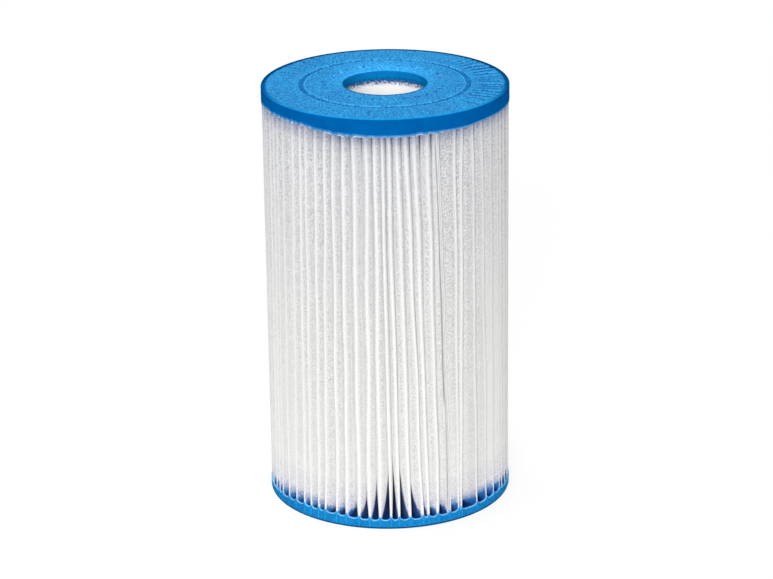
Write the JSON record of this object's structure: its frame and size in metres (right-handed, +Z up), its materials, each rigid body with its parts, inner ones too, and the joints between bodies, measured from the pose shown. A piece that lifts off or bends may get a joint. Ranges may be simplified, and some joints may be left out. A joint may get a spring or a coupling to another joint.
{
  "type": "pleated filter cartridge",
  "caption": "Cylindrical pleated filter cartridge with moulded end caps and an open core, for a pool or spa pump.",
  "frame": {"origin": "centre of the bottom end cap's face, on the cartridge's axis", "axes": "+Z up along the axis from the bottom cap to the top cap; -Y is the front, with the sheet's seam a little to its +X side"},
  "size_m": [0.146, 0.146, 0.254],
  "materials": {
    "end_cap": "satin",
    "media": "matte",
    "core": "matte",
    "adhesive": "satin"
  },
  "bodies": {
    "root": {"top_end_cap": "end_cap", "bottom_end_cap": "end_cap", "pleated_media": "media", "core_cage": "core", "seam_bead": "adhesive"}
  },
  "joints": []
}
